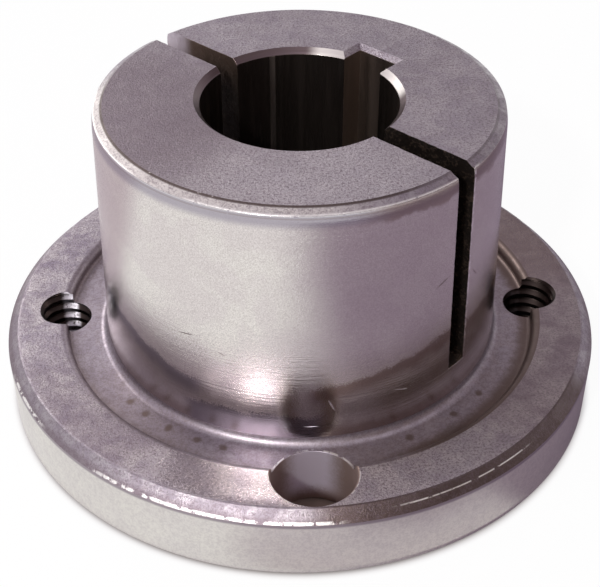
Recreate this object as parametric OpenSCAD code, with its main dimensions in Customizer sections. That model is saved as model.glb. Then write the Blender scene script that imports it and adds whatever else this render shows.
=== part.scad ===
// Split taper bushing for a taper-bored hub, drawn standing on its flange.
// Millimetres. The bore axis is Z, and the flange's outer face lies at z = 0.
// The tapped holes lie on the X axis and the clearance holes on the Y axis.

/* [Flange] */
// Outer diameter of the flange
flange_d = 63.5; // [58:0.5:80]
// Thickness of the flange
flange_t = 7.94; // [6:0.02:14]
// Chamfer round the flange's inner edge
flange_top_chamfer = 1.2; // [0.4:0.1:1.3]
// Edge break round the flange's outer face
flange_bottom_chamfer = 0.4; // [0.2:0.1:1]

/* [Barrel] */
// Length of the tapered barrel above the flange
barrel_h = 25.4; // [18:0.1:45]
// Diameter of the taper at the small end
small_end_d = 40.48; // [36:0.02:41]
// Growth of the diameter for each millimetre toward the flange
taper = 0.0625; // [0.03:0.0025:0.07]
// Radial width of the chamfer at the small end
end_chamfer_w = 1.05; // [0.4:0.05:2]
// Height of the chamfer at the small end
end_chamfer_h = 0.5; // [0.3:0.05:1]
// Height of the rounded lead-in below that chamfer
lead_in_h = 1.1; // [0.5:0.1:3]
// Radius of the rounded lead-in
lead_in_r = 5; // [4:0.5:12]

/* [Relief ring] */
// Outer diameter of the relief turned round the barrel
relief_d = 50.6; // [49:0.1:52]
// Depth of the relief below the flange's inner face
relief_depth = 1.3; // [0.6:0.1:1.6]
// Radius in the outer corner of the relief
relief_corner_r = 0.5; // [0.2:0.1:0.6]
// Fillet between the relief and the barrel
base_fillet_r = 0.9; // [0.5:0.1:2.2]

/* [Bore] */
// Diameter of the bore
bore_d = 19.6; // [12:0.1:24]
// Chamfer at both ends of the bore
bore_chamfer = 0.58; // [0.2:0.02:1]
// Width of the keyway
key_w = 4.76; // [3:0.01:6.4]
// Depth of the keyway, measured out from the bore's radius
key_depth = 2.3; // [1:0.1:3.5]
// Chamfer at both ends of the keyway
key_chamfer = 0.5; // [0.2:0.02:1]
// Direction of the keyway, turned from the tapped holes
key_angle = 45; // [20:1:70]

/* [Slots] */
// Width of the saw cut
slot_w = 2.4; // [1:0.1:3.5]
// Height of solid barrel left between the slots and the flange
slot_web = 3.0; // [2:0.1:10]
// Direction of the saw cut, turned from the tapped holes
slot_angle = -45; // [-70:1:-20]

/* [Screw holes] */
// Diameter of the circle that the clearance holes lie on
clearance_circle_d = 52.4; // [51.4:0.1:52.6]
// Diameter of the clearance holes
clearance_d = 8.3; // [5:0.1:8.4]
// Diameter of the circle that the tapped holes lie on
tapped_circle_d = 51; // [50:0.1:53]
// Diameter of the tapped holes at the thread's crests
tapped_d = 5.1; // [3:0.1:6.5]
// Radial width of the countersink at the mouths of the tapped holes
tapped_sink = 0.3; // [0.1:0.05:0.6]

/* [Hidden] */
$fn = 96;
over = 1;
arc_steps = 5;
total_h = flange_t + barrel_h;
relief_z = flange_t - relief_depth;
half_angle = atan(taper / 2);
end_z = total_h - end_chamfer_h;
lead_z = end_z - lead_in_h;
slot_z = flange_t + slot_web;
bore_r = bore_d / 2;
key_floor = bore_r + key_depth;

// radius of the taper at a height z
function wall_r(z) = (small_end_d + taper * (total_h - z)) / 2;

// inset of the rounded lead-in at a height t above its foot
function lead_inset(t) = lead_in_r - sqrt(lead_in_r * lead_in_r - t * t);

fillet_z = relief_z + base_fillet_r;
fillet_x = wall_r(fillet_z) + base_fillet_r / cos(half_angle);
fillet_top_z = fillet_z + base_fillet_r * sin(half_angle);

// half section of the flange disc
module flange_section() {
  r = flange_d / 2;
  polygon([
    [0, 0],
    [r - flange_bottom_chamfer, 0],
    [r, flange_bottom_chamfer],
    [r, flange_t - flange_top_chamfer],
    [r - flange_top_chamfer, flange_t],
    [0, flange_t]
  ]);
}

// half section of the tapered barrel, with its lead-in and end chamfer
module barrel_section() {
  lead_in = [
    for (i = [0 : arc_steps])
      let (t = lead_in_h * i / arc_steps)
        [wall_r(lead_z + t) - lead_inset(t), lead_z + t]
  ];
  polygon(concat(
    [[0, over], [wall_r(over), over]],
    lead_in,
    [[wall_r(end_z) - end_chamfer_w, total_h], [0, total_h]]
  ));
}

// half section of the ring cut round the barrel, with a rounded outer corner
module relief_section() {
  r = relief_d / 2;
  corner_x = r - relief_corner_r;
  corner_z = relief_z + relief_corner_r;
  translate([0, relief_z]) square([corner_x, relief_depth + over]);
  translate([0, corner_z]) square([r, relief_depth + over]);
  translate([corner_x, corner_z]) circle(r = relief_corner_r);
}

// half section of the fillet that carries the barrel's wall into the relief
module base_fillet_section() {
  inner = wall_r(relief_z) - over;
  difference() {
    polygon([
      [inner, relief_z],
      [fillet_x, relief_z],
      [wall_r(fillet_top_z), fillet_top_z],
      [inner, fillet_top_z]
    ]);
    translate([fillet_x, fillet_z]) circle(r = base_fillet_r);
  }
}

// the turned blank before it is bored, slotted and drilled
module turned_blank() {
  rotate_extrude() {
    difference() {
      flange_section();
      relief_section();
    }
    barrel_section();
    base_fillet_section();
  }
}

// room for the bore, opened by a chamfer at both ends
module bore_cut() {
  flare = bore_chamfer + over;
  translate([0, 0, -over])
    cylinder(r = bore_r, h = total_h + 2 * over);
  translate([0, 0, total_h - bore_chamfer])
    cylinder(r1 = bore_r, r2 = bore_r + flare, h = flare);
  translate([0, 0, -over])
    cylinder(r1 = bore_r + flare, r2 = bore_r, h = flare);
}

// flared mouth of the keyway, with its narrow end at z = 0 and opening upward
module key_flare() {
  span = 4 * key_floor;
  rise = key_chamfer + over;
  intersection() {
    translate([0, 0, -key_w / 2])
      rotate([45, 0, 0])
        cube([2 * key_floor, span, span]);
    translate([key_floor, 0, 0])
      rotate([0, 45, 0])
        translate([-span, -span / 2, -span / 2])
          cube([span, span, span]);
    translate([0, -key_floor, 0])
      cube([2 * key_floor, 2 * key_floor, rise]);
  }
}

// room for the keyway, flared at both ends as the bore is
module keyway_cut() {
  rotate([0, 0, key_angle]) {
    translate([0, -key_w / 2, -over])
      cube([key_floor, key_w, total_h + 2 * over]);
    translate([0, 0, total_h - key_chamfer])
      key_flare();
    translate([0, 0, key_chamfer])
      mirror([0, 0, 1])
        key_flare();
  }
}

// the saw cut that splits the barrel on both sides of the bore
module slot_cut() {
  reach = wall_r(slot_z) + over;
  rotate([0, 0, slot_angle])
    translate([-reach, -slot_w / 2, slot_z])
      cube([2 * reach, slot_w, barrel_h]);
}

// a plain hole through the flange for a cap screw
module clearance_hole() {
  translate([0, 0, -over])
    cylinder(d = clearance_d, h = flange_t + 2 * over);
}

// a tapped hole through the flange, countersunk at both mouths
module tapped_hole() {
  r = tapped_d / 2;
  mouth = r + tapped_sink + over;
  translate([0, 0, -over])
    cylinder(r = r, h = flange_t + 2 * over);
  translate([0, 0, -over])
    cylinder(r1 = mouth, r2 = r, h = tapped_sink + over);
  translate([0, 0, flange_t - tapped_sink])
    cylinder(r1 = r, r2 = mouth, h = tapped_sink + over);
}

// the whole bushing, machined from one piece
module bushing() {
  color("#9b94a0")
    difference() {
      turned_blank();
      bore_cut();
      keyway_cut();
      slot_cut();
      for (side = [-1, 1]) {
        translate([0, side * clearance_circle_d / 2, 0]) clearance_hole();
        translate([side * tapped_circle_d / 2, 0, 0]) tapped_hole();
      }
    }
}

bushing();
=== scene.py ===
import math

import bpy
from mathutils import Matrix, Vector


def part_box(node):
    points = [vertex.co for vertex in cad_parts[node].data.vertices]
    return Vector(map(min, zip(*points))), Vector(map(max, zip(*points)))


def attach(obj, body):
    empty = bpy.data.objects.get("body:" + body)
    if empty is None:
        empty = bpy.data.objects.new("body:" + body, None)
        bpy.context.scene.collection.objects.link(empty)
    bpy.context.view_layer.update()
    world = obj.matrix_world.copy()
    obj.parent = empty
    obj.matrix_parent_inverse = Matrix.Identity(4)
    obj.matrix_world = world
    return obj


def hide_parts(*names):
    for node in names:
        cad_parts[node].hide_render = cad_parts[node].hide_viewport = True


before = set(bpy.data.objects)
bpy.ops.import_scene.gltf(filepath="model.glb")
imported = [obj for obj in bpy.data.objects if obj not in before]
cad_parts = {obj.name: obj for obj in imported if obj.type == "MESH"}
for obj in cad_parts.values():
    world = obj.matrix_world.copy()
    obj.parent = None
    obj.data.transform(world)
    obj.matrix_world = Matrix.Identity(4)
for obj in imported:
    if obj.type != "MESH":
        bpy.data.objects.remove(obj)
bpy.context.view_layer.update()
mm = 0.001

boxLow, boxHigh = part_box("bushing")
flangeRadius = (boxHigh.x - boxLow.x) / 2
totalHeight = boxHigh.z
print("frame loaded, flange", round(flangeRadius * 2 / mm, 2), "mm across")


# Modelling helpers

def clearSelection():
    if bpy.context.object and bpy.context.object.mode != "OBJECT":
        bpy.ops.object.mode_set(mode="OBJECT")
    bpy.ops.object.select_all(action="DESELECT")


def pick(piece):
    clearSelection()
    piece.select_set(True)
    bpy.context.view_layer.objects.active = piece


def nameNew(name):
    piece = bpy.context.object
    piece.name = name
    piece.data.name = name
    return piece


def freeze(piece):
    pick(piece)
    bpy.ops.object.transform_apply(location=True, rotation=True, scale=True)


def applyModifier(piece, kind, **settings):
    pick(piece)
    modifier = piece.modifiers.new(kind.lower(), kind)
    for key, value in settings.items():
        setattr(modifier, key, value)
    bpy.ops.object.modifier_apply(modifier=modifier.name)


def cut(piece, cutter):
    applyModifier(piece, "BOOLEAN", object=cutter, operation="DIFFERENCE",
                  solver="EXACT", material_mode="TRANSFER")
    bpy.data.objects.remove(cutter)


def arc(centreR, centreZ, radius, fromDeg, toDeg, steps):
    points = []
    for i in range(steps + 1):
        a = math.radians(fromDeg + (toDeg - fromDeg) * i / steps)
        points.append((centreR + radius * math.cos(a), centreZ + radius * math.sin(a)))
    return points


# One material for each way the steel was finished; their nodes come after the modelling

finishNames = ["sinteredFace", "groundTaper", "turnedRim", "roughChamfer", "turnedEdge",
               "turnedRelief", "boredWall", "keywayWall", "sawnWall", "drilledWall", "threadWall"]
finishes = {name: bpy.data.materials.new(name) for name in finishNames}


def giveFinish(piece, name):
    piece.data.materials.clear()
    piece.data.materials.append(finishes[name])


# The turned blank

blank = {
    "segments": 288,
    "flangeThick": 7.94 * mm,
    "rimChamfer": 1.2 * mm,  # round the flange's inner edge
    "footChamfer": 0.4 * mm,
    "smallEndRadius": 20.24 * mm,
    "taper": 0.0625,  # growth of the diameter per unit of length
    "endChamferWidth": 1.05 * mm,
    "endChamferHeight": 0.5 * mm,
    "leadInHeight": 1.1 * mm,
    "leadInRadius": 5.0 * mm,
    "reliefRadius": 25.3 * mm,
    "reliefDepth": 1.3 * mm,
    "reliefCorner": 0.5 * mm,
    "reliefLip": 0.8 * mm,  # rounded edge where the relief meets the flange's face
    "baseFillet": 0.9 * mm,
    "boreRadius": 9.8 * mm,
    "boreChamfer": 0.58 * mm,
    "edgeSoftness": 0.12 * mm,  # breaks the turned corners
    "sharpAngle": 24,  # degrees; softer edges than this are shaded smooth
}
flangeTop = blank["flangeThick"]


def wallRadius(z):
    return blank["smallEndRadius"] + blank["taper"] / 2 * (totalHeight - z)


def level(fromR, toR, z, steps):
    # points along a flat stretch of the section, without its first one
    return [(fromR + (toR - fromR) * i / steps, z) for i in range(1, steps + 1)]


def blankSection():
    b = blank
    floorZ = flangeTop - b["reliefDepth"]
    tilt = math.atan(b["taper"] / 2)
    filletZ = floorZ + b["baseFillet"]
    filletR = wallRadius(filletZ) + b["baseFillet"] / math.cos(tilt)
    cornerR = b["reliefRadius"] - b["reliefCorner"]
    cornerZ = floorZ + b["reliefCorner"]
    lip = b["reliefLip"]
    endZ = totalHeight - b["endChamferHeight"]
    leadZ = endZ - b["leadInHeight"]
    boreMouth = b["boreRadius"] + b["boreChamfer"]
    soft = b["edgeSoftness"]

    points = [(b["boreRadius"], b["boreChamfer"]), (boreMouth, 0)]
    points += level(boreMouth, flangeRadius - b["footChamfer"], 0, 12)
    points += [(flangeRadius, b["footChamfer"])]
    points += [(flangeRadius, flangeTop - b["rimChamfer"] - soft)]
    points += [(flangeRadius - soft * 0.3, flangeTop - b["rimChamfer"] + soft * 0.5)]
    points += [(flangeRadius - b["rimChamfer"] + soft * 0.5, flangeTop - soft * 0.3)]
    points += [(flangeRadius - b["rimChamfer"] - soft, flangeTop)]
    rimR = flangeRadius - b["rimChamfer"] - soft
    lipR = b["reliefRadius"] + lip
    points += level(rimR, lipR, flangeTop, 5)
    points += arc(lipR, flangeTop - lip, lip, 90, 180, 5)[1:]
    points += arc(cornerR, cornerZ, b["reliefCorner"], 0, -90, 6)
    points += arc(filletR, filletZ, b["baseFillet"], -90, -180 + math.degrees(tilt), 12)
    startZ = points[-1][1]
    points += [(wallRadius(z), z) for z in [startZ + (leadZ - startZ) * i / 16 for i in range(1, 17)]]
    for i in range(1, 7):
        t = b["leadInHeight"] * i / 6
        inset = b["leadInRadius"] - math.sqrt(b["leadInRadius"] ** 2 - t ** 2)
        points.append((wallRadius(leadZ + t) - inset, leadZ + t))
    topR = wallRadius(endZ) - b["endChamferWidth"]
    points += [(topR, totalHeight)]
    points += level(topR, boreMouth, totalHeight, 8)
    points += [(b["boreRadius"], totalHeight - b["boreChamfer"])]
    return points


def finishAt(r, z, up):
    # which finish a face of the blank has, from its place and how far its normal points up
    b = blank
    small = 0.02 * mm
    if r < b["boreRadius"] + small:
        return "boredWall"
    if r < b["boreRadius"] + b["boreChamfer"] and abs(up) < 0.95:
        return "turnedEdge"
    if abs(up) > 0.99 and (z < small or z > totalHeight - small):
        return "sinteredFace"
    if z > totalHeight - b["endChamferHeight"]:
        return "roughChamfer"
    if z > flangeTop - b["reliefDepth"] + b["baseFillet"] and r < wallRadius(z) + small:
        return "groundTaper"
    if r < b["reliefRadius"] + b["reliefLip"] * 0.9:
        return "turnedRelief"
    if up > 0.99:
        return "sinteredFace"
    if up > 0.2:
        return "roughChamfer"
    return "turnedRim"


def turnBlank():
    # one vertex is pulled round the section, and the closed outline is spun
    section = blankSection()
    clearSelection()
    bpy.ops.mesh.primitive_plane_add(size=mm, location=(0, 0, 0))
    piece = nameNew("bushing_machined")
    bpy.ops.object.mode_set(mode="EDIT")
    bpy.ops.mesh.select_all(action="SELECT")
    bpy.ops.mesh.merge(type="CENTER")
    bpy.ops.transform.translate(value=(section[0][0], 0, section[0][1]))
    for here, there in zip(section, section[1:] + section[:1]):
        step = (there[0] - here[0], 0, there[1] - here[1])
        bpy.ops.mesh.extrude_vertices_move(TRANSFORM_OT_translate={"value": step})
    bpy.ops.mesh.select_all(action="SELECT")
    bpy.ops.mesh.remove_doubles(threshold=0.001 * mm)
    bpy.ops.mesh.spin(steps=blank["segments"], angle=math.tau, center=(0, 0, 0), axis=(0, 0, 1))
    bpy.ops.mesh.select_all(action="SELECT")
    bpy.ops.mesh.remove_doubles(threshold=0.001 * mm)
    bpy.ops.mesh.normals_make_consistent(inside=False)
    bpy.ops.object.mode_set(mode="OBJECT")
    for name in finishNames:
        piece.data.materials.append(finishes[name])
    for face in piece.data.polygons:
        r = math.hypot(face.center.x, face.center.y)
        face.material_index = finishNames.index(finishAt(r, face.center.z, face.normal.z))
    return piece


bushing = turnBlank()
print("blank turned,", len(bushing.data.polygons), "faces")


# Cutters: keyway, saw cut and holes

keyway = {
    "width": 4.76 * mm,
    "depth": 2.3 * mm,
    "chamfer": 0.5 * mm,
    "angle": 45,  # degrees from the tapped holes
}
sawCut = {
    "width": 2.4 * mm,
    "web": 3.0 * mm,  # solid barrel left above the flange
    "angle": -45,
    "roughness": 0.16 * mm,
    "grit": 0.55 * mm,
    "grid": (110, 66),  # squares along and up each side of the cut
}
clearanceHoles = {
    "circleRadius": 26.2 * mm,
    "radius": 4.15 * mm,
    "flare": 0.12 * mm,  # edge break at both mouths
    "sides": 112,
}
tappedHoles = {
    "circleRadius": 25.5 * mm,
    "radius": 2.55 * mm,  # at the thread's crests
    "flare": 0.3 * mm,  # countersink at both mouths
    "sides": 72,
    "rootRadius": 3.0 * mm,
    "pitch": 1.27 * mm,
    "turns": 7,
    "stepsPerTurn": 60,
    "grooveShare": 0.44,  # half the groove's width at the crests, as a share of the pitch
    "inset": 0.25 * mm,  # how far inside the crests the groove's cutter starts
    "widestShare": 0.49,  # the most that half its width may be there
}
overrun = 1.0 * mm


def widenEnd(piece, up, height, spread):
    # pulls the cutter's end face out and opens it on every side
    bpy.ops.object.mode_set(mode="EDIT")
    bpy.ops.mesh.select_all(action="DESELECT")
    bpy.ops.object.mode_set(mode="OBJECT")
    size = Vector((0, 0, 0))
    for face in piece.data.polygons:
        face.select = face.normal.z * up > 0.9
        if face.select:
            corners = [piece.data.vertices[i].co for i in face.vertices]
            size.x = max(c.x for c in corners) - min(c.x for c in corners)
            size.y = max(c.y for c in corners) - min(c.y for c in corners)
    bpy.ops.object.mode_set(mode="EDIT")
    bpy.ops.mesh.select_mode(type="FACE")
    bpy.ops.mesh.extrude_region_move(TRANSFORM_OT_translate={"value": (0, 0, height * up)})
    bpy.ops.transform.resize(value=(1 + 2 * spread / size.x, 1 + 2 * spread / size.y, 1))
    bpy.ops.object.mode_set(mode="OBJECT")


def keywayCutter():
    k = keyway
    reach = blank["boreRadius"] + k["depth"]
    inner = blank["boreRadius"] * 0.5
    straight = totalHeight - 2 * k["chamfer"]
    clearSelection()
    bpy.ops.mesh.primitive_cube_add(size=1, location=(0, 0, 0))
    cutter = nameNew("keywayCutter")
    cutter.scale = (reach - inner, k["width"], straight)
    freeze(cutter)
    for up in (1, -1):
        widenEnd(cutter, up, k["chamfer"] + overrun, k["chamfer"] + overrun)
    cutter.location = ((reach + inner) / 2, 0, totalHeight / 2)
    freeze(cutter)
    cutter.rotation_euler.z = math.radians(k["angle"])
    freeze(cutter)
    giveFinish(cutter, "keywayWall")
    return cutter


def sawCutter():
    # a gritty sheet as thick as the blade, standing across the barrel
    s = sawCut
    bottom = flangeTop + s["web"]
    height = totalHeight + overrun - bottom
    length = 2 * (wallRadius(bottom) + overrun)
    clearSelection()
    along, up = s["grid"]
    bpy.ops.mesh.primitive_grid_add(x_subdivisions=along, y_subdivisions=up, size=1, location=(0, 0, 0))
    cutter = nameNew("sawCutter")
    cutter.scale = (length, height, 1)
    cutter.rotation_euler.x = math.radians(90)
    freeze(cutter)
    cutter.location.z = bottom + height / 2
    freeze(cutter)
    applyModifier(cutter, "SOLIDIFY", thickness=s["width"], offset=0)
    grit = bpy.data.textures.new("sawGrit", "CLOUDS")
    grit.noise_scale = s["grit"]
    grit.noise_depth = 3
    applyModifier(cutter, "DISPLACE", texture=grit, texture_coords="LOCAL",
                  strength=s["roughness"], mid_level=0.5)
    cutter.rotation_euler.z = math.radians(s["angle"])
    freeze(cutter)
    giveFinish(cutter, "sawnWall")
    return cutter


def holeCutter(hole, x, y, finish):
    # a cylinder that opens out past both faces of the flange
    straight = flangeTop - 2 * hole["flare"]
    clearSelection()
    bpy.ops.mesh.primitive_cylinder_add(vertices=hole["sides"], radius=hole["radius"], depth=straight,
                                        location=(0, 0, 0))
    cutter = nameNew("holeCutter")
    for up in (1, -1):
        widenEnd(cutter, up, hole["flare"] + overrun, hole["flare"] + overrun)
    cutter.location = (x, y, flangeTop / 2)
    freeze(cutter)
    giveFinish(cutter, finish)
    return cutter


def threadCutter(side):
    # a triangular ridge wound into a helix
    t = tappedHoles
    inner = t["radius"] - t["inset"]
    depth = t["rootRadius"] - inner
    halfWidth = t["grooveShare"] * t["pitch"] * depth / (t["rootRadius"] - t["radius"])
    halfWidth = min(halfWidth, t["widestShare"] * t["pitch"])
    clearSelection()
    bpy.ops.mesh.primitive_circle_add(vertices=3, radius=1, fill_type="NOTHING", location=(0, 0, 0))
    cutter = nameNew("threadCutter")
    tips = [Vector((t["rootRadius"], 0, 0)), Vector((inner, 0, halfWidth)), Vector((inner, 0, -halfWidth))]
    for vertex, tip in zip(cutter.data.vertices, tips):
        vertex.co = tip
    applyModifier(cutter, "SCREW", axis="Z", angle=math.tau, screw_offset=t["pitch"], iterations=t["turns"],
                  steps=t["stepsPerTurn"], render_steps=t["stepsPerTurn"], use_merge_vertices=False)
    bpy.ops.object.mode_set(mode="EDIT")
    bpy.ops.mesh.select_all(action="SELECT")
    bpy.ops.mesh.fill_holes(sides=3)
    bpy.ops.mesh.normals_make_consistent(inside=False)
    bpy.ops.object.mode_set(mode="OBJECT")
    cutter.location = (side * t["circleRadius"], 0, flangeTop / 2 - t["turns"] * t["pitch"] / 2)
    freeze(cutter)
    giveFinish(cutter, "threadWall")
    return cutter


cut(bushing, keywayCutter())
cut(bushing, sawCutter())
for side in (-1, 1):
    cut(bushing, holeCutter(clearanceHoles, 0, side * clearanceHoles["circleRadius"], "drilledWall"))
    cut(bushing, holeCutter(tappedHoles, side * tappedHoles["circleRadius"], 0, "threadWall"))
    cut(bushing, threadCutter(side))
print("keyway, saw cut and holes cut,", len(bushing.data.polygons), "faces")

# the keyway's flared mouths are as porous as the faces round them
flares = [face for face in bushing.data.polygons
          if bushing.material_slots[face.material_index].name == "keywayWall" and abs(face.normal.z) > 0.3]
for face in flares:
    face.material_index = bushing.material_slots.find("sinteredFace")

pick(bushing)
bpy.ops.object.shade_smooth_by_angle(angle=math.radians(blank["sharpAngle"]))


# Tools for building nodes

def plug(tree, node, key, value):
    # joins a socket, or sets a plain value
    if isinstance(value, bpy.types.NodeSocket):
        tree.links.new(value, node.inputs[key])
    else:
        node.inputs[key].default_value = value


def addNode(tree, kind, settings, inputs):
    node = tree.nodes.new("ShaderNode" + kind)
    for key, value in settings.items():
        setattr(node, key, value)
    for key, value in inputs.items():
        plug(tree, node, key, value)
    return node


def calc(tree, operation, a, b=0.0):
    node = addNode(tree, "Math", {"operation": operation}, {0: a, 1: b})
    return node.outputs[0]


def times(tree, first, *others):
    for other in others:
        first = calc(tree, "MULTIPLY", first, other)
    return first


def plus(tree, a, b):
    return calc(tree, "ADD", a, b)


def minus(tree, a, b):
    return calc(tree, "SUBTRACT", a, b)


def distance(tree, a, b):
    # length of a line that goes so far one way and so far square to it
    return calc(tree, "SQRT", plus(tree, times(tree, a, a), times(tree, b, b)))


def vectorMath(tree, operation, a, b=(0, 0, 0), **inputs):
    return addNode(tree, "VectorMath", {"operation": operation}, {0: a, 1: b, **inputs}).outputs


def axes(tree, vector):
    return addNode(tree, "SeparateXYZ", {}, {0: vector}).outputs


def fade(tree, value, start, end, low=0.0, high=1.0):
    # goes smoothly from low to high while the value goes from start to end
    node = addNode(tree, "MapRange", {"interpolation_type": "SMOOTHSTEP"},
                   {"Value": value, "From Min": start, "From Max": end, "To Min": low, "To Max": high})
    return node.outputs[0]


def tint(tree, factor, a, b):
    # colour a where the factor is 0, and colour b where it is 1
    return addNode(tree, "Mix", {"data_type": "RGBA"}, {0: factor, 6: a, 7: b}).outputs[2]


def blotches(tree, place, size, detail=3.0, roughness=0.55, distortion=0.0):
    # noise whose blotches are about so many millimetres wide
    node = addNode(tree, "TexNoise", {}, {"Vector": place, "Detail": detail, "Roughness": roughness,
                                          "Distortion": distortion})
    if isinstance(size, bpy.types.NodeSocket):
        size = calc(tree, "DIVIDE", 1.0, size)
    else:
        size = 1 / size
    plug(tree, node, "Scale", size)
    return node.outputs["Fac"]


def newGroup(name, inputs, outputs):
    tree = bpy.data.node_groups.new(name, "ShaderNodeTree")
    for label, value in inputs.items():
        kind = "NodeSocketVector" if value is None else "NodeSocketFloat"
        socket = tree.interface.new_socket(name=label, in_out="INPUT", socket_type=kind)
        if value is not None:
            socket.default_value = value
    for label, kind in outputs.items():
        tree.interface.new_socket(name=label, in_out="OUTPUT", socket_type="NodeSocket" + kind)
    start = tree.nodes.new("NodeGroupInput")
    end = tree.nodes.new("NodeGroupOutput")
    return tree, start.outputs, end


def useGroup(tree, group, **inputs):
    node = tree.nodes.new("ShaderNodeGroup")
    node.node_tree = group
    for key, value in inputs.items():
        plug(tree, node, key, value)
    return node.outputs


# Effects that several finishes share

def makePlaceGroup():
    # the point in millimetres, its distance from the bore's axis, its height and its angle in degrees
    outputs = {"Place": "Vector", "Unrolled": "Vector", "Radius": "Float", "Height": "Float", "Angle": "Float"}
    tree, given, end = newGroup("placeOnBushing", {"Object": None}, outputs)
    place = vectorMath(tree, "SCALE", given["Object"], Scale=1 / mm)[0]
    x, y, z = axes(tree, place)
    radius = distance(tree, x, y)
    turn = calc(tree, "ARCTAN2", y, x)
    unrolled = addNode(tree, "CombineXYZ", {}, {0: times(tree, turn, radius), 1: z, 2: radius}).outputs[0]
    for label, value in zip(outputs, (place, unrolled, radius, z, calc(tree, "DEGREES", turn))):
        plug(tree, end, label, value)
    return tree


def makeGrainGroup():
    # fine powder-metal grain: a height for the bump, and a mask of single bright specks
    tree, given, end = newGroup("grain", {"Place": None, "Size": 0.2, "Specks": 0.5},
                                {"Height": "Float", "Speck": "Float"})
    fine = blotches(tree, given["Place"], given["Size"], 3, 0.7)
    coarse = blotches(tree, given["Place"], times(tree, given["Size"], 2.7), 2)
    height = plus(tree, times(tree, fine, 0.65), times(tree, coarse, 0.35))
    limit = minus(tree, 0.8, times(tree, given["Specks"], 0.2))
    plug(tree, end, "Height", height)
    plug(tree, end, "Speck", fade(tree, fine, limit, plus(tree, limit, 0.05)))
    return tree


def makeMottleGroup():
    # soft uneven patches, as oil film and handling leave on bare steel
    tree, given, end = newGroup("mottle", {"Place": None, "Size": 3.0}, {"Mask": "Float"})
    broad = blotches(tree, given["Place"], given["Size"], 4, 0.6, 0.4)
    plug(tree, end, "Mask", fade(tree, broad, 0.36, 0.64))
    return tree


def makeRingGroup():
    # a thin line round the axis at one radius and height; Break leaves gaps in it
    tree, given, end = newGroup("ringLine", {"Place": None, "At Radius": 10.0, "At Height": 0.0, "Width": 0.2,
                                             "Break": 0.5}, {"Mask": "Float"})
    x, y, z = axes(tree, given["Place"])
    outward = minus(tree, distance(tree, x, y), given["At Radius"])
    upward = minus(tree, z, given["At Height"])
    away = calc(tree, "DIVIDE", distance(tree, outward, upward), given["Width"])
    limit = plus(tree, times(tree, given["Break"], 0.4), 0.26)
    kept = fade(tree, blotches(tree, given["Place"], 0.8, 4, 0.7), limit, plus(tree, limit, 0.08))
    plug(tree, end, "Mask", times(tree, fade(tree, away, 1.0, 0.35), kept))
    return tree


def makeArcGroup():
    # one near an angle round the axis, fading to none outside it
    tree, given, end = newGroup("arcWindow", {"Angle": 0.0, "Middle": -90.0, "Reach": 20.0, "Fade": 8.0},
                                {"Mask": "Float"})
    turned = plus(tree, minus(tree, given["Angle"], given["Middle"]), 540.0)
    away = calc(tree, "ABSOLUTE", minus(tree, calc(tree, "MODULO", turned, 360.0), 180.0))
    plug(tree, end, "Mask", fade(tree, away, plus(tree, given["Reach"], given["Fade"]), given["Reach"]))
    return tree


def makeTurningGroup():
    # fine rings left by the lathe tool
    tree, given, end = newGroup("turningMarks", {"Radius": 0.0, "Height": 0.0, "Angle": 0.0, "Spacing": 0.1},
                                {"Rings": "Float"})
    scale = calc(tree, "DIVIDE", 1.0, given["Spacing"])
    across = addNode(tree, "CombineXYZ", {}, {0: times(tree, given["Radius"], scale),
                                              1: times(tree, given["Height"], scale),
                                              2: times(tree, given["Angle"], 0.02)}).outputs[0]
    plug(tree, end, "Rings", blotches(tree, across, 1.0, 2))
    return tree


def makeMarkGroup():
    # one short mark lying on the unrolled surface: a scratch when thin, a smudge when round; the barrel's
    # painted highlights use it too
    tree, given, end = newGroup("mark", {"Unrolled": None, "Along": 0.0, "Up": 0.0, "Tilt": 0.0, "Length": 1.0,
                                         "Width": 0.1}, {"Mask": "Float"})
    along, up = axes(tree, given["Unrolled"])[:2]
    centred = addNode(tree, "CombineXYZ", {}, {0: minus(tree, along, given["Along"]),
                                               1: minus(tree, up, given["Up"])}).outputs[0]
    turned = addNode(tree, "VectorRotate", {"rotation_type": "Z_AXIS"},
                     {"Vector": centred, "Angle": given["Tilt"]})
    u, v = axes(tree, turned.outputs[0])[:2]
    away = distance(tree, calc(tree, "DIVIDE", u, given["Length"]), calc(tree, "DIVIDE", v, given["Width"]))
    plug(tree, end, "Mask", fade(tree, away, 1.0, 0.3))
    return tree


placeOnBushing = makePlaceGroup()
grain = makeGrainGroup()
mottle = makeMottleGroup()
ringLine = makeRingGroup()
arcWindow = makeArcGroup()
turningMarks = makeTurningGroup()
mark = makeMarkGroup()


def startFinish(name):
    # gives the material's tree, its shader, and where each point lies on the bushing
    material = finishes[name]
    material.use_nodes = True
    tree = material.node_tree
    shader = tree.nodes["Principled BSDF"]
    shader.inputs["Metallic"].default_value = 1.0
    coords = addNode(tree, "TexCoord", {}, {})
    at = useGroup(tree, placeOnBushing, Object=coords.outputs["Object"])
    return tree, shader, at


def addBump(tree, shader, height, depth, strength, edge):
    # depth in millimetres; edge is the radius that softens sharp corners
    soft = addNode(tree, "Bevel", {"samples": 4}, {"Radius": edge * mm})
    bump = addNode(tree, "Bump", {}, {"Height": height, "Distance": depth * mm, "Strength": strength,
                                      "Normal": soft.outputs[0]})
    plug(tree, shader, "Normal", bump.outputs[0])


def near(tree, at, middle, reach, soft):
    # one near an angle round the axis, fading to none beyond the reach
    return useGroup(tree, arcWindow, Angle=at["Angle"], Middle=middle, Reach=reach, Fade=soft)["Mask"]


def lineRound(tree, place, radius, height, width, gaps):
    return useGroup(tree, ringLine, **{"Place": place, "At Radius": radius, "At Height": height,
                                       "Width": width, "Break": gaps})["Mask"]


def patchesOf(tree, at, size):
    return useGroup(tree, mottle, Place=at["Place"], Size=size)["Mask"]


def gritOf(tree, at, size, specks=0.0):
    return useGroup(tree, grain, Place=at["Place"], Size=size, Specks=specks)


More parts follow.
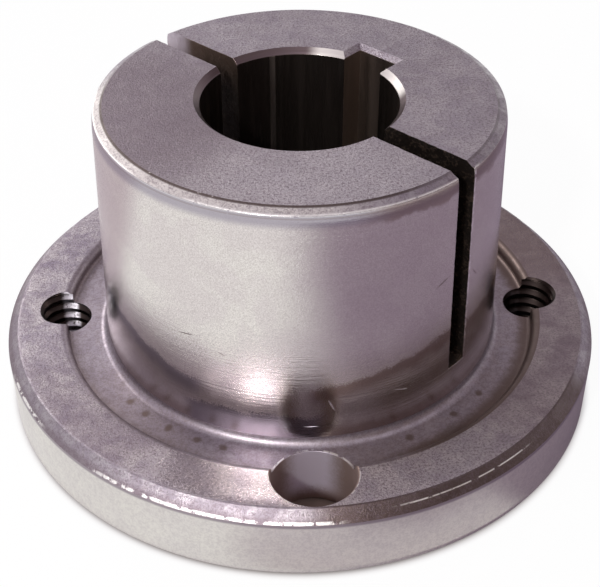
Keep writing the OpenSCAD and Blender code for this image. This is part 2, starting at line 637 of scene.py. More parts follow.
def ringsOf(tree, at, spacing):
    return useGroup(tree, turningMarks, Radius=at["Radius"], Height=at["Height"], Angle=at["Angle"],
                    Spacing=spacing)["Rings"]


# Finishes
# Lengths are in millimetres here, and angles in degrees round the axis from +X. An arc is an angle, its reach on
# either side and its fade. A bump is its depth, its strength and the radius that softens corners.

faceHeight = flangeTop / mm
reliefFloor = (flangeTop - blank["reliefDepth"]) / mm
upOnBarrel = (20, 25)  # heights between which the flange's colours give way to those of the top

# painted highlight along the burr round the front clearance hole
holeBurrGlint = {
    "radius": 4.28,  # round the front clearance hole's own axis
    "width": 0.14,
    "gaps": 0.52,
    "amount": 0.85,
    "colour": (1, 1, 0.98, 1),
    "rightSide": (1.5, 3.0),  # where it fades in, from the hole's axis
    "backSide": (1.2, 2.6),
}


def addBurrGlint(tree, at, colour, height, right):
    # painted highlight: a bright broken line where light catches the burr round the mouth of the front clearance
    # hole, on its back or right side
    b = holeBurrGlint
    toHole = (0, clearanceHoles["circleRadius"] / mm, 0)
    place = vectorMath(tree, "ADD", at["Place"], toHole)[0]
    line = lineRound(tree, place, b["radius"], height, b["width"], b["gaps"])
    x, y = axes(tree, place)[:2]
    side = fade(tree, x, *b["rightSide"]) if right else fade(tree, y, *b["backSide"])
    return tint(tree, times(tree, line, side, b["amount"]), colour, b["colour"])


sintered = {
    "pale": (0.60, 0.56, 0.57, 1),
    "violet": (0.31, 0.27, 0.33, 1),
    "filmAndShade": (0.20, 0.155, 0.175, 1),  # darker oily patches, and the colour of painted shade on the faces and chamfers
    # painted shade on the flange's right and back
    "brown": (0.20, 0.135, 0.115, 1),
    # painted light on the front of both faces and on the flange's far left
    "rubbedAndLit": (0.74, 0.70, 0.71, 1),
    "patchSizes": (1.5, 3.2, 6.0),  # small, broad and oily patches
    "filmAndShadeAmount": 0.16,
    "dustSize": 0.24,  # the finest dark specks
    "dustAmount": 0.85,
    "grainSize": 0.16,
    "specks": (0.35, 0.7),  # how many, and how bright
    "bump": (0.10, 1.0, 0.05),
    "roughness": (0.44, 0.38),  # in the violet and in the pale patches
    "sheenArc": (-106, 9, 12),  # where the flange is rubbed smoother
    "sheen": 0.22,  # taken off the roughness there
    "sheenBump": 0.35,  # share of the grain's height left there
    # painted light and shade, lighter or darker by the angle round the axis: colour, angle, reach, fade, amount
    "topPaintedLight": [("filmAndShade", -168, 26, 48, 0.62), ("rubbedAndLit", -92, 22, 34, 0.36)],
    "flangePaintedLight": [("brown", 15, 50, 40, 0.46), ("filmAndShade", -140, 14, 18, 0.34), ("brown", 34, 22, 16, 0.55),
                    ("rubbedAndLit", -172, 10, 12, 0.10), ("rubbedAndLit", -88, 30, 14, 0.32)],
}


def buildSinteredFace():
    f = sintered
    tree, shader, at = startFinish("sinteredFace")
    patches, broad, oily = [patchesOf(tree, at, size) for size in f["patchSizes"]]
    many, bright = f["specks"]
    grit = gritOf(tree, at, f["grainSize"], many)
    dust = blotches(tree, at["Place"], f["dustSize"], 5, 0.8)
    onTop = fade(tree, at["Height"], *upOnBarrel)
    onFlange = minus(tree, 1.0, onTop)
    mixed = plus(tree, times(tree, patches, 0.4), times(tree, broad, 0.6))
    calm = plus(tree, times(tree, mixed, 0.4), 0.3)  # fewer patches on the top face
    mixed = addNode(tree, "Mix", {"data_type": "FLOAT"}, {0: onTop, 2: mixed, 3: calm}).outputs[0]
    colour = tint(tree, mixed, f["violet"], f["pale"])
    # painted light and shade: each face lighter or darker by the angle round the axis
    for face, paintedLight in ((onTop, f["topPaintedLight"]), (onFlange, f["flangePaintedLight"])):
        for filmAndShade, middle, reach, soft, amount in paintedLight:
            window = times(tree, near(tree, at, middle, reach, soft), face, amount)
            colour = tint(tree, window, colour, f[filmAndShade])
    colour = tint(tree, fade(tree, oily, 0.3, 1, 0, f["filmAndShadeAmount"]), colour, f["filmAndShade"])
    colour = tint(tree, fade(tree, dust, 0.56, 0.36, 0, f["dustAmount"]), colour, f["filmAndShade"])
    colour = tint(tree, times(tree, grit["Speck"], bright), colour, chamfer["bright"])
    # painted highlight along the front clearance hole's burr
    colour = addBurrGlint(tree, at, colour, faceHeight, True)
    plug(tree, shader, "Base Color", colour)
    sheen = times(tree, near(tree, at, *f["sheenArc"]), onFlange)
    dullness = fade(tree, patches, 0, 1, *f["roughness"])
    plug(tree, shader, "Roughness", minus(tree, dullness, times(tree, sheen, f["sheen"])))
    flatter = times(tree, grit["Height"], fade(tree, sheen, 0, 1, 1.0, f["sheenBump"]))
    addBump(tree, shader, flatter, *f["bump"])


ground = {
    "pale": (0.80, 0.765, 0.73, 1),
    "violet": (0.60, 0.50, 0.56, 1),
    # dark scratches and crackle, and also the painted dark line near the top of the barrel
    "scratchAndShade": (0.30, 0.25, 0.24, 1),
    "turned": (0.38, 0.35, 0.40, 1),  # the lead-in: painted shade, darker where its curve reflects darker surroundings
    # colours of painted shade and painted reflections low on the barrel and on the lead-in's right
    "shadeBrown": (0.30, 0.22, 0.19, 1),
    "shadeViolet": (0.25, 0.225, 0.265, 1),
    # painted highlight on the saw cut's burr
    "burrGlint": (1, 0.98, 0.95, 1),
    "burrOffset": 0.12,  # past the saw cut's edge
    "glint": (1, 0.96, 0.98, 1),
    "roughness": (0.16, 0.21),
    "bump": (0.05, 0.65, 0.12),
    "patchSize": 5.0,
    "grainSize": 0.15,
    "ringSpacing": 0.22,
    "crackleSize": 0.12,
    "crackle": 0.40,  # how dark it is
    "leadIn": 31.75,  # height where the lead-in starts
    "brightLines": [(20.26, 32.80, 0.16, 0.25)],  # painted highlight: radius, height, half width, gaps
    # a painted dark line just below the highlight, with the same columns
    "darkLines": [(20.27, 32.55, 0.12, 0.1)],
    "leadInArc": (-45, 22, 14),  # where painted shade covers the lead-in
    "leadInStain": 0.65,
    "footShade": (9.6, 8.1),  # faded and full heights of the painted shade at the barrel's foot
    # painted shade and painted reflections of the flange low on the barrel: colour, angle, reach, fade, amount,
    # amount at the foot, then two angles and the heights of their upper edge there
    "footShades": [
        ("shadeBrown", -32, 56, 5, 0.85, 0.1, -92, -48, 13.4, 15.9),
        ("shadeViolet", -152, 28, 8, 0.80, 0.2, -120, -171, 13.0, 15.9),
        ("shadeViolet", -106, 16, 5, 0.85, 0.85, -120, -90, 10.2, 10.2),
    ],
    # marks on the barrel: angle, height, tilt, half length, half width
    "scratches": [
        (-124.0, 17.9, -0.15, 1.1, 0.10),
        (-113.6, 16.8, 0.35, 0.5, 0.08),
        (-52.5, 22.3, -0.35, 1.2, 0.12),
        (-38.3, 20.8, 0.9, 0.9, 0.12),
    ],
    "glints": [
        (-84.5, 11.4, 1.15, 0.8, 0.09),
        (-65.0, 11.5, 0.3, 0.8, 0.06),
    ],
}


def shadeFoot(tree, at, colour, crackle, uneven):
    # painted shade round the barrel's foot, and the painted reflections of the flange that reach higher
    f = ground
    foot = fade(tree, plus(tree, at["Height"], uneven), *f["footShade"], 0, 0.7)
    colour = tint(tree, foot, colour, f["shadeBrown"])
    ragged = plus(tree, fade(tree, crackle, 0.3, 0.7, -0.4, 0.4), uneven)
    for filmAndShade, middle, reach, soft, amount, deep, fromAngle, toAngle, fromHeight, toHeight in f["footShades"]:
        edge = fade(tree, at["Angle"], fromAngle, toAngle, fromHeight, toHeight)
        below = minus(tree, edge, plus(tree, at["Height"], ragged))
        low = times(tree, fade(tree, below, -0.15, 0.25), fade(tree, below, 0.8, 2.6, amount, deep))
        window = times(tree, near(tree, at, middle, reach, soft), low)
        colour = tint(tree, window, colour, f[filmAndShade])
    return colour


def sawBurrGlint(tree, at):
    # painted highlight: a thin broken line where light catches the burr along the right edge of the front saw
    # cut
    turn = math.radians(sawCut["angle"])
    across = (-math.sin(turn), math.cos(turn), 0)
    fromCut = vectorMath(tree, "DOT_PRODUCT", at["Place"], across)["Value"]
    edge = sawCut["width"] / 2 / mm + ground["burrOffset"]
    fromEdge = calc(tree, "ABSOLUTE", minus(tree, fromCut, edge))
    x, y = axes(tree, at["Place"])[:2]
    inFront = fade(tree, minus(tree, x, y), 0, 5)
    broken = fade(tree, blotches(tree, at["Place"], 0.6, 4, 0.7), 0.44, 0.54)
    foot = (flangeTop + sawCut["web"]) / mm
    above = fade(tree, at["Height"], foot - 0.14, foot + 0.26)
    return times(tree, fade(tree, fromEdge, 0.22, 0.08), inFront, broken, above)


def markOn(tree, at, angle, up, tilt, half, width):
    # a short mark on the barrel's wall
    along = math.radians(angle) * wallRadius(up * mm) / mm
    return useGroup(tree, mark, Unrolled=at["Unrolled"], Along=along, Up=up, Tilt=tilt, Length=half,
                    Width=width)["Mask"]


def buildGroundTaper():
    f = ground
    tree, shader, at = startFinish("groundTaper")
    patches = patchesOf(tree, at, f["patchSize"])
    grit = gritOf(tree, at, f["grainSize"])
    rings = useGroup(tree, turningMarks, Radius=0.0, Height=at["Height"], Angle=at["Angle"],
                     Spacing=f["ringSpacing"])["Rings"]
    crackle = blotches(tree, at["Place"], f["crackleSize"], 4, 0.8)
    colour = tint(tree, fade(tree, patches, 0, 1, 0.0, 0.22), f["pale"], f["violet"])
    colour = tint(tree, fade(tree, crackle, 0.60, 0.40, 0, f["crackle"]), colour, f["scratchAndShade"])
    # painted shade on the lead-in near the top of the barrel
    upThere = fade(tree, at["Height"], f["leadIn"] - 0.5, f["leadIn"] + 0.4, 0, 0.85)
    colour = tint(tree, upThere, colour, f["turned"])
    # painted highlight and painted dark line near the top of the barrel
    for line in f["brightLines"]:
        colour = tint(tree, lineRound(tree, at["Place"], *line), colour, chamfer["bright"])
    for line in f["darkLines"]:
        colour = tint(tree, times(tree, lineRound(tree, at["Place"], *line), 0.75), colour, f["scratchAndShade"])
    uneven = fade(tree, patches, 0, 1, -0.25, 0.25)
    # painted shade and painted reflections low on the barrel
    colour = shadeFoot(tree, at, colour, crackle, uneven)
    height = plus(tree, at["Height"], uneven)
    # painted shade on the right of the lead-in
    shaded = fade(tree, height, f["leadIn"] - 0.6, f["leadIn"] - 0.1, 0, f["leadInStain"])
    colour = tint(tree, times(tree, shaded, near(tree, at, *f["leadInArc"])), colour, f["shadeBrown"])
    # painted highlight on the saw cut's burr
    colour = tint(tree, times(tree, sawBurrGlint(tree, at), 0.9), colour, f["burrGlint"])
    depth = plus(tree, times(tree, grit["Height"], 0.6), times(tree, rings, 0.4))
    for scratchAndShade in f["scratches"]:
        mask = markOn(tree, at, *scratchAndShade)
        colour = tint(tree, times(tree, mask, 0.8), colour, f["scratchAndShade"])
        depth = minus(tree, depth, times(tree, mask, 0.5))
    for glint in f["glints"]:
        mask = markOn(tree, at, *glint)
        colour = tint(tree, mask, colour, f["glint"])
        depth = plus(tree, depth, times(tree, mask, 1.5))
    plug(tree, shader, "Base Color", colour)
    plug(tree, shader, "Roughness", fade(tree, patches, 0, 1, *f["roughness"]))
    addBump(tree, shader, depth, *f["bump"])


rim = {
    "pale": (0.72, 0.69, 0.65, 1),
    "violet": (0.52, 0.47, 0.52, 1),
    "under": (0.26, 0.21, 0.25, 1),
    "foot": (0.7, 0.1),  # heights between which it turns violet: painted shade at the rim's foot
    # painted shade on the rim's right and back
    "shadeArc": (5, 28, 32),
    "filmAndShadeAmount": 0.45,
    "shadeLine": (6.45, 6.75),  # heights between which it darkens under the chamfer
    "patchSize": 4.0,
    "grainSize": 0.2,
    "roughness": (0.36, 0.39),
    "bump": (0.05, 0.4, 0.12),
}


def buildTurnedRim():
    f = rim
    tree, shader, at = startFinish("turnedRim")
    patches = patchesOf(tree, at, f["patchSize"])
    grit = gritOf(tree, at, f["grainSize"])
    colour = tint(tree, fade(tree, patches, 0, 1, 0.0, 0.12), f["pale"], f["violet"])
    # painted shade at the rim's foot and on its right and back
    colour = tint(tree, fade(tree, at["Height"], *f["foot"], 0, 0.6), colour, f["violet"])
    colour = tint(tree, times(tree, near(tree, at, *f["shadeArc"]), f["filmAndShadeAmount"]), colour, f["under"])
    colour = tint(tree, fade(tree, grit["Height"], 0.60, 0.38, 0, 0.22), colour, f["under"])
    uneven = plus(tree, at["Height"], times(tree, grit["Height"], 0.3))
    colour = tint(tree, fade(tree, uneven, *f["shadeLine"], 0, 0.8), colour, f["under"])
    plug(tree, shader, "Base Color", colour)
    plug(tree, shader, "Roughness", fade(tree, patches, 0, 1, *f["roughness"]))
    addBump(tree, shader, grit["Height"], *f["bump"])


chamfer = {
    "bright": (0.94, 0.92, 0.89, 1),
    "dull": (0.34, 0.30, 0.34, 1),
    "line": (0.10, 0.075, 0.07, 1),
    "brown": (0.12, 0.085, 0.075, 1),
    "cream": (0.70, 0.665, 0.63, 1),
    "patchSize": 1.6,
    "grainSize": 0.16,
    "roughness": (0.44, 0.30),
    "bump": (0.10, 0.8, 0.06),
    "under": (7.5, 7.0),  # heights between which the flange's chamfer darkens, and is dark below: painted shade
    "brownArc": (-58, 28, 8),  # painted shade on the flange's chamfer
    "creamArc": (-135, 45, 25),  # painted light on the small end's chamfer
    # painted highlights: radius, height, half width, gaps, then the arcs they cover as angle, reach and fade
    "brightLines": [
        (20.20, 32.92, 0.28, 0.22, [(-166, 18, 8), (-74, 14, 8), (-148, 4, 5), (-107, 12, 6), (-52, 10, 6)]),
        (31.60, 6.94, 0.22, 0.48, [(-154, 5, 4), (-109, 19, 6)]),
        (31.12, 7.42, 0.10, 0.35, [(-62, 10, 6)]),
    ],
    # painted dark line at the inner edge of the small end's chamfer, stronger at the front left
    "darkLine": (19.28, 33.32, 0.28, 0.05),
    "darkLineArc": (-125, 50, 30),  # fainter elsewhere
}


def buildRoughChamfer():
    f = chamfer
    tree, shader, at = startFinish("roughChamfer")
    grit = gritOf(tree, at, f["grainSize"])
    patches = patchesOf(tree, at, f["patchSize"])
    colour = tint(tree, fade(tree, patches, 0, 1, 0, 0.15), f["dull"], f["bright"])
    # painted shade on the lower part of the flange's chamfer
    colour = tint(tree, fade(tree, at["Height"], *f["under"], 0, 0.6), colour, sintered["filmAndShade"])
    onFlange = fade(tree, at["Height"], *upOnBarrel, 0.9, 0)
    # painted shade on the right of the flange's chamfer
    colour = tint(tree, times(tree, near(tree, at, *f["brownArc"]), onFlange), colour, f["brown"])
    onTop = fade(tree, at["Height"], *upOnBarrel, 0, 0.8)
    # painted light on the left of the small end's chamfer
    colour = tint(tree, times(tree, near(tree, at, *f["creamArc"]), onTop), colour, f["cream"])
    colour = tint(tree, fade(tree, grit["Height"], 0.55, 0.38, 0, 0.6), colour, sintered["filmAndShade"])
    # painted highlights on the chamfers
    for *line, arcs in f["brightLines"]:
        glinting = 0.0
        for window in arcs:
            glinting = calc(tree, "MAXIMUM", near(tree, at, *window), glinting)
        colour = tint(tree, times(tree, lineRound(tree, at["Place"], *line), glinting), colour, f["bright"])
    # painted dark line at the inner edge of the small end's chamfer
    shown = fade(tree, near(tree, at, *f["darkLineArc"]), 0, 1, 0.35, 0.95)
    colour = tint(tree, times(tree, lineRound(tree, at["Place"], *f["darkLine"]), shown), colour, f["line"])
    plug(tree, shader, "Base Color", colour)
    plug(tree, shader, "Roughness", fade(tree, patches, 0, 1, *f["roughness"]))
    addBump(tree, shader, grit["Height"], *f["bump"])


boreEdge = {
    "ringSpacing": 0.1,
    "creamArc": (40, 34, 10),  # painted highlight: pale near the keyway
    "roughness": (0.28, 0.38),
    "bump": (0.02, 0.3, 0.12),
}


def buildTurnedEdge():
    f = boreEdge
    tree, shader, at = startFinish("turnedEdge")
    rings = ringsOf(tree, at, f["ringSpacing"])
    dull = tint(tree, rings, chamfer["brown"], sintered["filmAndShade"])
    # painted highlight on the bore's chamfer near the keyway
    plug(tree, shader, "Base Color", tint(tree, near(tree, at, *f["creamArc"]), dull, chamfer["cream"]))
    plug(tree, shader, "Roughness", fade(tree, rings, 0.3, 0.7, *f["roughness"]))
    addBump(tree, shader, rings, *f["bump"])


relief = {
    "pale": (0.46, 0.415, 0.46, 1),
    "brown": (0.17, 0.125, 0.105, 1),
    "roughness": (0.40, 0.48),
    "bump": (0.03, 0.35, 0.1),
    "ringSpacing": 0.16,
    "patchSize": 1.6,
    "grainSize": 0.16,
    # painted shade on the relief's front left
    "shadeArc": (-138, 12, 14),
    "filmAndShadeAmount": 0.35,
    "shadedArc": (0, 60, 20),  # where the painted shade is strong and covers the lip too
    "wallShade": (23.7, 25.1),  # radii between which the painted shade in the relief's outer corner sets in
    "lip": (7.2, 7.8),  # heights between which it ends elsewhere
    "pitRadius": 22.8,
    "pitAngles": [-141.8, -135.7, -127.5, -119.1, -112.0, -64.8, -50.4, -39.9],
}


def buildTurnedRelief():
    f = relief
    tree, shader, at = startFinish("turnedRelief")
    rings = ringsOf(tree, at, f["ringSpacing"])
    patches = patchesOf(tree, at, f["patchSize"])
    grit = gritOf(tree, at, f["grainSize"])
    colour = tint(tree, fade(tree, patches, 0, 1, 0.0, 0.35), f["pale"], sintered["violet"])
    # painted shade on the relief's front left
    filmAndShade = times(tree, near(tree, at, *f["shadeArc"]), f["filmAndShadeAmount"])
    colour = tint(tree, filmAndShade, colour, sintered["filmAndShade"])
    colour = tint(tree, fade(tree, grit["Height"], 0.58, 0.40, 0, 0.4), colour, f["brown"])
    # painted shade in the relief's outer corner, strongest on the right
    shaded = near(tree, at, *f["shadedArc"])
    wander = plus(tree, fade(tree, patches, 0, 1, -0.1, 0.1), times(tree, shaded, 0.5))
    wallShade = fade(tree, plus(tree, at["Radius"], wander), *f["wallShade"])
    onLip = calc(tree, "MAXIMUM", fade(tree, at["Height"], *f["lip"], 1, 0), shaded)
    amount = fade(tree, shaded, 0, 1, 0.35, 0.9)
    colour = tint(tree, times(tree, wallShade, onLip, amount), colour, f["brown"])
    for angle in f["pitAngles"]:
        pit = Matrix.Rotation(math.radians(angle), 3, "Z") @ Vector((f["pitRadius"], 0, reliefFloor))
        away = vectorMath(tree, "DISTANCE", at["Place"], pit)["Value"]
        smudge = fade(tree, plus(tree, away, times(tree, patches, 0.2)), 0.75, 0.35, 0, 0.8)
        colour = tint(tree, smudge, colour, f["brown"])
    # painted highlight along the front clearance hole's burr
    colour = addBurrGlint(tree, at, colour, reliefFloor, False)
    plug(tree, shader, "Base Color", colour)
    plug(tree, shader, "Roughness", fade(tree, patches, 0, 1, *f["roughness"]))
    addBump(tree, shader, rings, *f["bump"])


inside = {
    # painted shade: the deep bore is very dark
    "bore": (0.085, 0.068, 0.060, 1),
    "keyway": (0.34, 0.27, 0.23, 1),
    "rubbedAndLit": (0.40, 0.34, 0.31, 1),
    "rubbedAmount": 0.35,
    "stretch": (1, 1, 0.08),  # draws the streaks out along the bore
    "strip": (104, 1.2, 1.0),  # painted reflection: one narrow strip is paler
    "stripAmount": 0.85,
    "bump": (0.03, 0.5, 0.12),
}


def buildInside(name, base, roughness):
    # the walls of the bore and keyway: dark, with lighter streaks along them and one painted reflection
    f = inside
    tree, shader, at = startFinish(name)
    lines = addNode(tree, "Mapping", {}, {"Vector": at["Place"], "Scale": f["stretch"]}).outputs[0]
    streaks = blotches(tree, lines, 1.2, 5, 0.6)
    rubbedAndLit = fade(tree, streaks, 0.5, 0.72, 0, f["rubbedAmount"])
    # painted reflection: a pale strip down the bore
    strip = times(tree, near(tree, at, *f["strip"]), f["stripAmount"])
    rubbedAndLit = calc(tree, "MAXIMUM", rubbedAndLit, strip)
    plug(tree, shader, "Base Color", tint(tree, rubbedAndLit, f[base], f["rubbedAndLit"]))
    plug(tree, shader, "Roughness", fade(tree, streaks, 0.3, 0.7, roughness + 0.06, roughness - 0.06))
    addBump(tree, shader, streaks, *f["bump"])


sawn = {
    "dark": (0.075, 0.06, 0.052, 1),
    "brown": (0.26, 0.19, 0.145, 1),
    "pale": (0.62, 0.57, 0.62, 1),
    "roughness": 0.45,
    # on the way back from the axis along the cut, as y: the dark wall, painted shade deep in the cut, loses its
    # rubbed specks, and near the top it turns brown, then pale where the cut runs out: painted light where the
    # cut opens
    "calmFrom": (2, 6),
    "brownFrom": (5, 9),
    "paleFrom": (12.2, 13.6),
    "nearTop": (29, 32.5),
    "grainSize": 0.3,
    "bump": (0.12, 0.9, 0.1),
}


def buildSawnWall():
    f = sawn
    tree, shader, at = startFinish("sawnWall")
    y = axes(tree, at["Place"])[1]
    grit = gritOf(tree, at, f["grainSize"])
    rubbedAndLit = times(tree, fade(tree, grit["Height"], 0.5, 0.62, 0, 0.7), fade(tree, y, *f["calmFrom"], 1, 0.25))
    # painted shade deep in the saw cut, painted light near its open top and end
    colour = tint(tree, rubbedAndLit, f["dark"], f["brown"])
    high = fade(tree, at["Height"], *f["nearTop"])
    colour = tint(tree, times(tree, fade(tree, y, *f["brownFrom"], 0, 0.8), high), colour, f["brown"])
    colour = tint(tree, times(tree, fade(tree, y, *f["paleFrom"]), high), colour, f["pale"])
    plug(tree, shader, "Base Color", colour)
    plug(tree, shader, "Roughness", f["roughness"])
    addBump(tree, shader, grit["Height"], *f["bump"])


drilled = {
    # painted light and shade: pale where the hole's wall catches light in its middle, brown at its sides and
    # foot
    "pale": (0.93, 0.87, 0.97, 1),
    "brown": (0.42, 0.32, 0.28, 1),
    "metallic": 0.82,
    "roughness": 0.5,
    "sides": (3.9, 1.8),  # from the hole's middle, where brown gives way to pale
    "foot": (1.0, 3.0),  # heights between which it does so too
    "grainSize": 0.25,
    "bump": (0.03, 0.4, 0.1),
}


def buildDrilledWall():
    f = drilled
    tree, shader, at = startFinish("drilledWall")
    x = axes(tree, at["Place"])[0]
    grit = gritOf(tree, at, f["grainSize"])
    uneven = times(tree, grit["Height"], 1.2)
    # painted light in the middle of the hole's wall, painted shade at its sides and foot
    middle = fade(tree, plus(tree, calc(tree, "ABSOLUTE", x), uneven), *f["sides"])
    high = fade(tree, plus(tree, at["Height"], uneven), *f["foot"])
    plug(tree, shader, "Base Color", tint(tree, times(tree, middle, high), f["brown"], f["pale"]))
    plug(tree, shader, "Metallic", f["metallic"])
    plug(tree, shader, "Roughness", f["roughness"])
    addBump(tree, shader, grit["Height"], *f["bump"])


thread = {
    # painted shade: the tapped holes are very dark inside
    "dark": (0.04, 0.03, 0.028, 1),
    "rubbedAndLit": (0.52, 0.50, 0.54, 1),
    "roughness": 0.34,
    # where the ridges of each hole get a painted highlight, as x: faded, full, full, faded, then the amount
    "litAt": [(-26.5, -26.0, -25.0, -24.5, 1.0), (23.8, 24.2, 24.8, 25.3, 0.12)],
    "grainSize": 0.3,
    "bump": (0.03, 0.4, 0.1),
}


def buildThreadWall():
    f = thread
    tree, shader, at = startFinish("threadWall")
    x = axes(tree, at["Place"])[0]
    grit = gritOf(tree, at, f["grainSize"])
    # painted highlights on the threads' ridges
    lit = 0.0
    for begin, full, fading, end, amount in f["litAt"]:
        ridges = times(tree, fade(tree, x, begin, full), fade(tree, x, end, fading, 0, amount))
        lit = calc(tree, "MAXIMUM", ridges, lit)
    lit = times(tree, lit, fade(tree, grit["Height"], 0.3, 0.5))
    plug(tree, shader, "Base Color", tint(tree, lit, f["dark"], f["rubbedAndLit"]))
    plug(tree, shader, "Roughness", f["roughness"])
    addBump(tree, shader, grit["Height"], *f["bump"])


buildSinteredFace()
buildGroundTaper()
buildTurnedRim()
buildRoughChamfer()
buildTurnedEdge()
buildTurnedRelief()
buildInside("boredWall", "bore", 0.42)
buildInside("keywayWall", "keyway", 0.40)
buildSawnWall()
buildDrilledWall()
buildThreadWall()
print("finishes built")

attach(bushing, "root")
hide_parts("bushing")


# Floor, lights and camera

studio = {
    "floorRadius": 1.2,
    "sweepHeight": 0.3,  # the floor curves up into a backdrop all round
    "sweepSteps": 12,
    "footprint": 31.4 * mm,  # radius of the floor that the flange covers
    "paper": (0.88, 0.88, 0.88, 1),
    "shade": (0.16, 0.12, 0.10, 1),  # under the object
    "paperGlow": 0.94,  # share of plain white in the paper, so its shadows stay pale
    "air": (0.70, 0.645, 0.70, 1),
    "cameraDistance": 136.58 * mm,
    "cameraElevation": 37.93,
    "cameraAzimuth": -92.8,  # degrees from +X
    "cameraRoll": -0.12,
    "aimHeight": 8.83 * mm,
    "focalLength": 74.73,
}
lamps = {
    "flash": {"place": (-0.173, -0.354, 0.315), "aim": (0, 0, 0.01), "size": (0.034, 0.034), "power": 1.35,
              "colour": (1.0, 0.98, 0.96)},
    "softbox": {"place": (-0.31, 0.42, 0.35), "aim": (0, 0, 0.02), "size": (0.16, 0.28), "power": 0.7,
                "colour": (1.0, 0.98, 0.96)},
}
cards = {
    # grey and brown cards beside the object, seen only in its reflections, as painted shade: those on the floor
    # stand in for the floor's shade, the flags for darker surroundings; their edges fade out
    "frontCard": {"place": (0.069, -0.010, 0.0004), "size": (0.170, 0.230), "turn": (0, 0, -3),
                  "feather": 0.036, "colour": (0.285, 0.24, 0.295, 1)},
    "leftCard": {"place": (-0.082, 0.047, 0.0004), "size": (0.116, 0.110), "turn": (0, 0, 8),
                 "feather": 0.016, "colour": (0.58, 0.54, 0.56, 1)},
    "nearCard": {"place": (0.0065, -0.0325, 0.0008), "size": (0.037, 0.015), "turn": (0, 0, 22),
                 "feather": 0.005, "colour": (0.63, 0.62, 0.64, 1)},
    "sideFlag": {"place": (0.325, 0.325, 0.49), "size": (0.86, 0.52), "turn": (90, 0, -45),
                 "feather": 0.09, "colour": (0.16, 0.105, 0.105, 1)},
    "frontFlag": {"place": (0.30, -0.36, 0.40), "size": (1.04, 0.70), "turn": (90, 0, 40),
                  "feather": 0.12, "colour": (0.19, 0.13, 0.11, 1)},
}


def makeSweep():
    # a round floor whose rim rises in a smooth curve
    s = studio
    clearSelection()
    flat = s["floorRadius"] / 2
    bpy.ops.mesh.primitive_circle_add(vertices=96, radius=flat, fill_type="NGON", location=(0, 0, 0))
    piece = nameNew("floor")
    bpy.ops.object.mode_set(mode="EDIT")
    bpy.ops.mesh.select_all(action="SELECT")
    bpy.ops.mesh.extrude_region_move(TRANSFORM_OT_translate={"value": (0, 0, 0)})
    radius = flat
    for i in range(1, s["sweepSteps"] + 1):
        a = math.radians(90 * i / s["sweepSteps"])
        nextRadius = flat + flat * math.sin(a)
        rise = s["sweepHeight"] * (math.cos(a - math.radians(90 / s["sweepSteps"])) - math.cos(a))
        bpy.ops.mesh.extrude_region_move(TRANSFORM_OT_translate={"value": (0, 0, rise)})
        bpy.ops.transform.resize(value=(nextRadius / radius, nextRadius / radius, 1), center_override=(0, 0, 0))
        radius = nextRadius
    bpy.ops.mesh.delete(type="ONLY_FACE")
    bpy.ops.object.mode_set(mode="OBJECT")
    bpy.ops.object.shade_smooth_by_angle(angle=math.radians(30))
    return piece


def buildPaper():
    # white for the camera and in reflections, but dark right under the object, where no light comes
    s = studio
    material = bpy.data.materials.new("paper")
    material.use_nodes = True
    tree = material.node_tree
    shader = tree.nodes["Principled BSDF"]
    output = tree.nodes["Material Output"]
    shader.inputs["Roughness"].default_value = 0.9
    glow = addNode(tree, "Emission", {}, {"Color": (1, 1, 1, 1), "Strength": 1.0})
    rays = addNode(tree, "LightPath", {}, {})
    seen = calc(tree, "MAXIMUM", rays.outputs["Is Camera Ray"], rays.outputs["Is Glossy Ray"])
    seen = calc(tree, "MAXIMUM", seen, rays.outputs["Is Transmission Ray"])
    coords = addNode(tree, "TexCoord", {}, {})
    fromCentre = vectorMath(tree, "LENGTH", coords.outputs["Object"])["Value"]
    uncovered = fade(tree, fromCentre, s["footprint"] - 0.3 * mm, s["footprint"] + 1.2 * mm)
    plug(tree, shader, "Base Color", tint(tree, uncovered, s["shade"], s["paper"]))
    share = times(tree, seen, uncovered, s["paperGlow"])
    mixed = addNode(tree, "MixShader", {}, {0: share, 1: shader.outputs[0], 2: glow.outputs[0]})
    plug(tree, output, "Surface", mixed.outputs[0])
    return material


def addLamp(name, place, aim, size, power, colour):
    data = bpy.data.lights.new(name, "AREA")
    data.shape = "RECTANGLE"
    data.size, data.size_y = size
    data.energy = power
    data.color = colour
    lamp = bpy.data.objects.new(name, data)
    bpy.context.scene.collection.objects.link(lamp)
    lamp.location = place
    lamp.rotation_euler = (Vector(aim) - Vector(place)).to_track_quat("-Z", "Y").to_euler()
    lamp.visible_camera = False


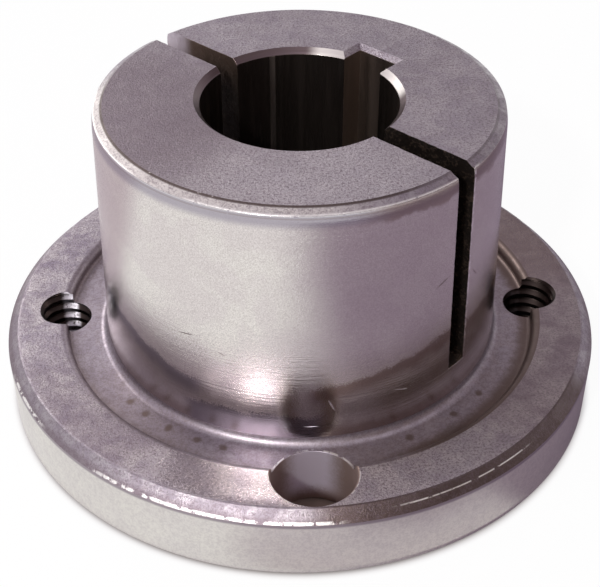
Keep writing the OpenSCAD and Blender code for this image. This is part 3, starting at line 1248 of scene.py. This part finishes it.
def makeCard(name, place, size, turn, feather, colour):
    clearSelection()
    bpy.ops.mesh.primitive_plane_add(size=1, location=(0, 0, 0))
    card = nameNew(name)
    card.scale = (size[0], size[1], 1)
    freeze(card)
    card.rotation_euler = [math.radians(angle) for angle in turn]
    card.location = place
    card.visible_camera = False
    card.visible_diffuse = False
    card.visible_shadow = False
    material = bpy.data.materials.new(name)
    material.use_nodes = True
    tree = material.node_tree
    shader = tree.nodes["Principled BSDF"]
    shader.inputs["Base Color"].default_value = colour
    shader.inputs["Roughness"].default_value = 0.9
    coords = addNode(tree, "TexCoord", {}, {})
    sides = axes(tree, coords.outputs["Object"])
    within = 1.0
    for i in range(2):
        fromMiddle = calc(tree, "ABSOLUTE", sides[i])
        within = times(tree, fade(tree, fromMiddle, size[i] / 2, size[i] / 2 - feather), within)
    clear = addNode(tree, "BsdfTransparent", {}, {})
    mixed = addNode(tree, "MixShader", {}, {0: within, 1: clear.outputs[0], 2: shader.outputs[0]})
    plug(tree, tree.nodes["Material Output"], "Surface", mixed.outputs[0])
    card.data.materials.append(material)
    return card


floor = makeSweep()
floor.data.materials.append(buildPaper())
for name, card in cards.items():
    makeCard(name, **card)

world = bpy.data.worlds.new("studio")
bpy.context.scene.world = world
world.use_nodes = True
world.node_tree.nodes["Background"].inputs["Color"].default_value = studio["air"]
world.node_tree.nodes["Background"].inputs["Strength"].default_value = 1.0

for name, lamp in lamps.items():
    addLamp(name, **lamp)

cameraData = bpy.data.cameras.new("camera")
cameraData.lens = studio["focalLength"]
cameraData.sensor_width = 36
cameraData.clip_start = 0.005
camera = bpy.data.objects.new("camera", cameraData)
bpy.context.scene.collection.objects.link(camera)
elevation = math.radians(studio["cameraElevation"])
azimuth = math.radians(studio["cameraAzimuth"])
outward = Vector((math.cos(elevation) * math.cos(azimuth), math.cos(elevation) * math.sin(azimuth),
                  math.sin(elevation)))
aim = Vector((0, 0, studio["aimHeight"]))
camera.location = aim + outward * studio["cameraDistance"]
roll = Matrix.Rotation(math.radians(studio["cameraRoll"]), 3, "Z")
camera.rotation_euler = ((-outward).to_track_quat("-Z", "Y").to_matrix() @ roll).to_euler()
bpy.context.scene.camera = camera
bpy.context.scene.view_settings.view_transform = "Standard"
print("studio set")
